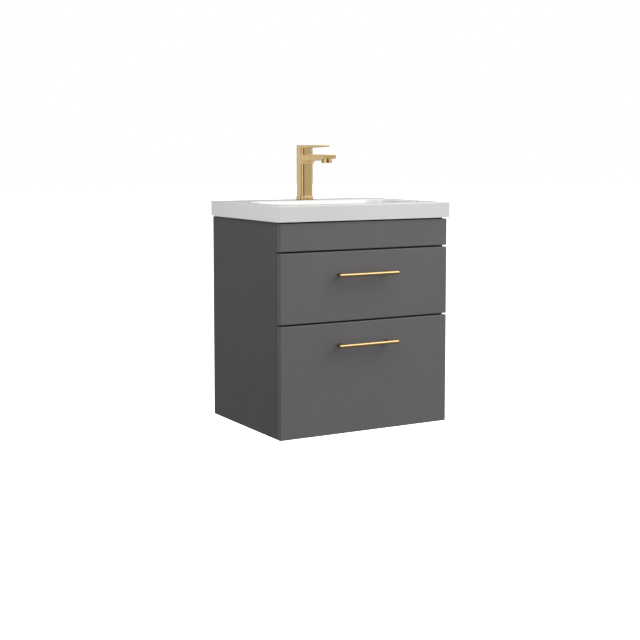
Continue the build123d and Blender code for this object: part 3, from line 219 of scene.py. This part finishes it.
def lacquered_board(name, colour, roughness, peel, coat, specular, side_shade_share=1.0):
    """Satin lacquer or melamine: faint mottling, orange-peel relief, uneven gloss, and painted shade that
    darkens the faces that face sideways.
    """
    constants = {"IOR": 1.48, "Coat Weight": coat, "Coat Roughness": 0.35, "Specular IOR Level": specular}
    material, tree, shader = surface(name, constants)
    where = object_space(tree)
    mottle = ranged(tree, noise(tree, where, MOTTLE_SCALE, detail=4.0, roughness=0.6), 0.0, 1.0)
    face = tone_pair(tree, mottle, colour, MOTTLE_SPREAD)
    # Painted shade: faces that face sideways get a darker copy of the colour, standing in for the dim light
    # on the fronts' side edges.
    painted_side_shade = tone_pair(tree, mottle, colour, MOTTLE_SPREAD, side_shade_share)
    side_shade_mask = ranged(tree, facing(tree, "X"), 0.0, 1.0, *SIDE_SHADE_FACING)
    tree.links.new(blend_colours(tree, side_shade_mask, face, painted_side_shade), shader.inputs["Base Color"])
    gloss = noise(tree, where, GLOSS_SCALE, detail=3.0, roughness=0.55)
    uneven = ranged(tree, gloss, roughness - GLOSS_SPREAD, roughness + GLOSS_SPREAD)
    tree.links.new(uneven, shader.inputs["Roughness"])
    dimples = noise(tree, where, PEEL_SCALE)
    grain = noise(tree, where, LACQUER_GRAIN_SCALE, detail=1.0)
    relief(tree, shader, [(dimples, peel, PEEL_DEPTH), (grain, 0.5 * peel, LACQUER_GRAIN_DEPTH)])
    return material


def glaze(name):
    """Gloss white glazed ceramic with the faint waviness of a fired glaze."""
    material, tree, shader = surface(name, {"IOR": 1.52, "Coat Weight": 0.6, "Coat Roughness": 0.04})
    where = object_space(tree)
    tone = ranged(tree, noise(tree, where, GLAZE_TONE_SCALE, detail=3.0), 0.0, 1.0)
    tree.links.new(tone_pair(tree, tone, GLAZE_WHITE, GLAZE_TONE_SPREAD), shader.inputs["Base Color"])
    gloss = noise(tree, where, GLAZE_GLOSS_SCALE)
    tree.links.new(ranged(tree, gloss, *GLAZE_ROUGHNESS), shader.inputs["Roughness"])
    wave = noise(tree, where, GLAZE_WAVE_SCALE, roughness=0.4)
    relief(tree, shader, [(wave, 0.05, GLAZE_WAVE_DEPTH)])
    return material


def brush_streaks(tree, brush):
    """Fine streaks along one axis. Brushed along Z, flat tops and undersides are brushed along Y."""
    sides = noise(tree, object_space(tree, BRUSH_STRETCHES[brush]), 1.0, detail=3.0, roughness=0.6)
    if brush != "Z":
        return sides
    tops = noise(tree, object_space(tree, BRUSH_STRETCHES["Y"]), 1.0, detail=3.0, roughness=0.6)
    is_top = ranged(tree, facing(tree, "Z"), 0.0, 1.0, *TOP_FACING)
    return node(tree, "Mix", {"Factor": is_top, 2: sides, 3: tops}, data_type="FLOAT").outputs[0]


def brushed_metal(name, bright, deep, brush, roughness):
    """Satin metal brushed along one axis, with a slight patina."""
    material, tree, shader = surface(name, {"Metallic": 1.0, "Anisotropic": 0.35})
    streaks = brush_streaks(tree, brush)
    patina = noise(tree, object_space(tree), PATINA_SCALE, detail=3.0, roughness=0.55)
    worn = blend_colours(tree, ranged(tree, patina, 0.0, PATINA_SHARE), opaque(bright), opaque(deep))
    streaked = blend_colours(tree, ranged(tree, streaks, 0.0, STREAK_SHARE), worn, opaque(deep))
    tree.links.new(streaked, shader.inputs["Base Color"])
    uneven = ranged(tree, streaks, roughness - BRUSH_GLOSSIER, roughness + BRUSH_ROUGHER)
    tree.links.new(uneven, shader.inputs["Roughness"])
    relief(tree, shader, [(streaks, 0.10, BRUSH_DEPTH)])
    return material


def moulded(name, colour, roughness, texture=700.0, sheen=0.0):
    """Moulded plastic or rubber with a fine spark-eroded texture and slight tone changes."""
    material, tree, shader = surface(name, {"IOR": 1.47, "Sheen Weight": sheen})
    where = object_space(tree)
    tone = ranged(tree, noise(tree, where, MOULD_TONE_SCALE, detail=3.0), 0.0, 1.0)
    tree.links.new(tone_pair(tree, tone, colour, MOULD_TONE_SPREAD), shader.inputs["Base Color"])
    skin = noise(tree, where, texture, roughness=0.6)
    uneven = ranged(tree, skin, roughness - MOULD_GLOSS_SPREAD, roughness + MOULD_GLOSS_SPREAD)
    tree.links.new(uneven, shader.inputs["Roughness"])
    relief(tree, shader, [(skin, 0.18, SKIN_DEPTH)])
    return material


def zinc_plate(name):
    """Zinc-plated steel: cool grey with the patchy spangle of passivated zinc."""
    material, tree, shader = surface(name, {"Metallic": 1.0})
    where = object_space(tree)
    cells = node(tree, "TexVoronoi", {"Vector": where, "Scale": SPANGLE_SCALE}, feature="F1")
    spangle = blend_colours(tree, cells.outputs["Distance"], opaque(ZINC), opaque(ZINC_SHADE))
    tree.links.new(spangle, shader.inputs["Base Color"])
    wear = noise(tree, where, ZINC_WEAR_SCALE, detail=4.0, roughness=0.6)
    tree.links.new(ranged(tree, wear, *ZINC_ROUGHNESS), shader.inputs["Roughness"])
    relief(tree, shader, [(wear, 0.08, SKIN_DEPTH)])
    return material


def turned_wood(name):
    """Beech, with fine rings and flecks, for the dowels."""
    material, tree, shader = surface(name, {"IOR": 1.45})
    where = object_space(tree, WOOD_STRETCH)
    rings = node(tree, "TexWave", {"Vector": where, "Scale": RING_SCALE, "Distortion": 6.0, "Detail": 3.0})
    tint = blend_colours(tree, rings.outputs["Fac"], opaque(BEECH), opaque(BEECH_RING))
    tree.links.new(tint, shader.inputs["Base Color"])
    flecks = noise(tree, where, FLECK_SCALE)
    tree.links.new(ranged(tree, flecks, *WOOD_ROUGHNESS), shader.inputs["Roughness"])
    relief(tree, shader, [(flecks, 0.2, SKIN_DEPTH)])
    return material


shaded_brass_bar = brushed_metal("brushed_brass_bar", SHADED_BAR_BRASS, SHADED_BAR_BRASS_DEEP, brush="X", roughness=0.20)
brass_tap = brushed_metal("brushed_brass_tap", BRASS, BRASS_DEEP, brush="Z", roughness=0.11)
FINISHES = {
    # The fronts' sideways faces are painted darker by this share, as shade.
    "front_lacquer": lacquered_board("front_lacquer", LACQUER_GREY, roughness=0.42, peel=0.07, coat=0.05,
                                     specular=0.35, side_shade_share=0.66),
    # Its darker grey is painted shade for the cabinet's sides.
    "carcass_board": lacquered_board("carcass_board", SHADED_BOARD_GREY, roughness=0.50, peel=0.12, coat=0.0,
                                     specular=0.2),
    "dowel_wood": turned_wood("dowel_wood"),
    "zinc_steel": zinc_plate("zinc_steel"),
    "drawer_steel": moulded("drawer_steel", DRAWER_STEEL, roughness=0.46, texture=1200.0),
    "dark_plastic": moulded("dark_plastic", DARK_PLASTIC, roughness=0.52),
    "pale_plastic": moulded("pale_plastic", PALE_PLASTIC, roughness=0.42),
    "ceramic": glaze("ceramic"),
    "silicone": moulded("silicone", SILICONE, roughness=0.36, texture=250.0),
    "black_rubber": moulded("black_rubber", RUBBER_BLACK, roughness=0.62, texture=900.0, sheen=0.1),
    "brushed_brass": brass_tap,
}

for subpart in SUBPARTS:
    piece = NODES[subpart["node"]]
    # The handles take the darker, painted-shade copy of the brass.
    finish = shaded_brass_bar if "_handle_" in piece.name else FINISHES[subpart["material_slot"]]
    piece.data.materials.clear()
    piece.data.materials.append(finish)


# ==== studio ====
def wall_ramp(tree, around, panels):
    """Soft-edged bright and dark panels around the object, each a direction in degrees and a brightness."""
    ramp = node(tree, "ValToRGB", {"Fac": around})
    ramp.color_ramp.interpolation = "B_SPLINE"
    stops = ramp.color_ramp.elements
    while len(stops) < len(panels):
        stops.new(0.5)
    for stop, (degrees, brightness) in zip(stops, panels):
        stop.position = (degrees + 180) / 360
        stop.color = opaque(WHITE, brightness)
    return ramp.outputs["Color"]


def white_studio():
    """White behind the object for the camera; soft bright and dark panels around it for its surfaces."""
    world = bpy.data.worlds.new("studio")
    bpy.context.scene.world = world
    world.use_nodes = True
    tree = world.node_tree
    tree.nodes.clear()
    direction = node(tree, "SeparateXYZ", {"Vector": node(tree, "TexCoord").outputs["Generated"]}).outputs
    forward = node(tree, "Math", {0: direction["Y"], 1: -1.0}, operation="MULTIPLY").outputs[0]
    azimuth = node(tree, "Math", {0: direction["X"], 1: forward}, operation="ARCTAN2").outputs[0]
    around = ranged(tree, azimuth, 0.0, 1.0, -math.pi, math.pi)
    eye_level = wall_ramp(tree, around, EYE_LEVEL)
    high_walls = wall_ramp(tree, around, HIGH_WALLS)
    above_eye = ranged(tree, direction["Z"], 0.0, 1.0, *EYE_TO_HIGH)
    panels = blend_colours(tree, above_eye, eye_level, high_walls)
    overhead = ranged(tree, direction["Z"], 0.0, 1.0, *HIGH_TO_OVERHEAD)
    upper = blend_colours(tree, overhead, panels, opaque(WHITE, OVERHEAD))
    underfoot = ranged(tree, direction["Z"], 1.0, 0.0, *UNDERFOOT_TO_EYE)
    walls = blend_colours(tree, underfoot, upper, opaque(WHITE, UNDERFOOT))
    studio = node(tree, "Background", {"Color": walls, "Strength": 1.0})
    backdrop = node(tree, "Background", {"Color": opaque(WHITE), "Strength": BACKDROP})
    seen = node(tree, "LightPath").outputs["Is Camera Ray"]
    mixed = node(tree, "MixShader", {"Fac": seen, 1: studio.outputs[0], 2: backdrop.outputs[0]})
    node(tree, "OutputWorld", {"Surface": mixed.outputs[0]})


def softbox(name, azimuth, elevation, distance, size, power, aim=MIDDLE):
    """A square light that faces a point. Azimuth 0 is in front of the object and 90 to its right."""
    turn, rise = math.radians(azimuth), math.radians(elevation)
    away = Vector((math.sin(turn) * math.cos(rise), -math.cos(turn) * math.cos(rise), math.sin(rise)))
    data = bpy.data.lights.new(name, "AREA")
    data.shape = "SQUARE"
    data.size = size
    data.energy = power
    light = bpy.data.objects.new(name, data)
    light.location = aim + away * distance
    light.rotation_euler = away.to_track_quat("Z", "Y").to_euler()
    light.visible_camera = False
    bpy.context.scene.collection.objects.link(light)


def pale_floor(height):
    """A wide white floor for the camera. It neither lights the object nor shows in its surfaces."""
    material, tree, shader = surface("pale_floor", {"Roughness": 0.7, "Emission Strength": 1.0})
    tone = noise(tree, object_space(tree), 0.8)
    darker, lighter = FLOOR_TONES
    white = blend_colours(tree, tone, opaque(WHITE, darker), opaque(WHITE, lighter))
    tree.links.new(white, shader.inputs["Base Color"])
    shader.inputs["Emission Color"].default_value = opaque(WHITE)
    mesh = bpy.data.meshes.new("floor")
    half = FLOOR_SIZE / 2
    corners = [(-half, -half, height), (half, -half, height), (half, half, height), (-half, half, height)]
    mesh.from_pydata(corners, [], [(0, 1, 2, 3)])
    floor = bpy.data.objects.new("floor", mesh)
    floor.data.materials.append(material)
    floor.visible_diffuse = False
    floor.visible_glossy = False
    bpy.context.scene.collection.objects.link(floor)


cabinet_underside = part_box("bottom_panel")[0].z
white_studio()
pale_floor(cabinet_underside - FLOOR_BELOW_CABINET)
softbox("key", azimuth=38, elevation=34, distance=2.6, size=1.6, power=19)
softbox("fill_left", azimuth=-63, elevation=33, distance=0.68, size=0.35, power=1.1, aim=BASIN_LEFT)

camera_data = bpy.data.cameras.new("camera")
camera_data.lens = CAMERA_LENS
camera_data.sensor_width = CAMERA_SENSOR
camera_data.shift_y = CAMERA_SHIFT_Y
camera = bpy.data.objects.new("camera", camera_data)
camera.location = CAMERA_AT
camera.rotation_euler = Euler((math.radians(90 - CAMERA_PITCH), 0.0, -math.radians(CAMERA_YAW)))
bpy.context.scene.collection.objects.link(camera)
bpy.context.scene.camera = camera
bpy.context.scene.view_settings.view_transform = "Standard"
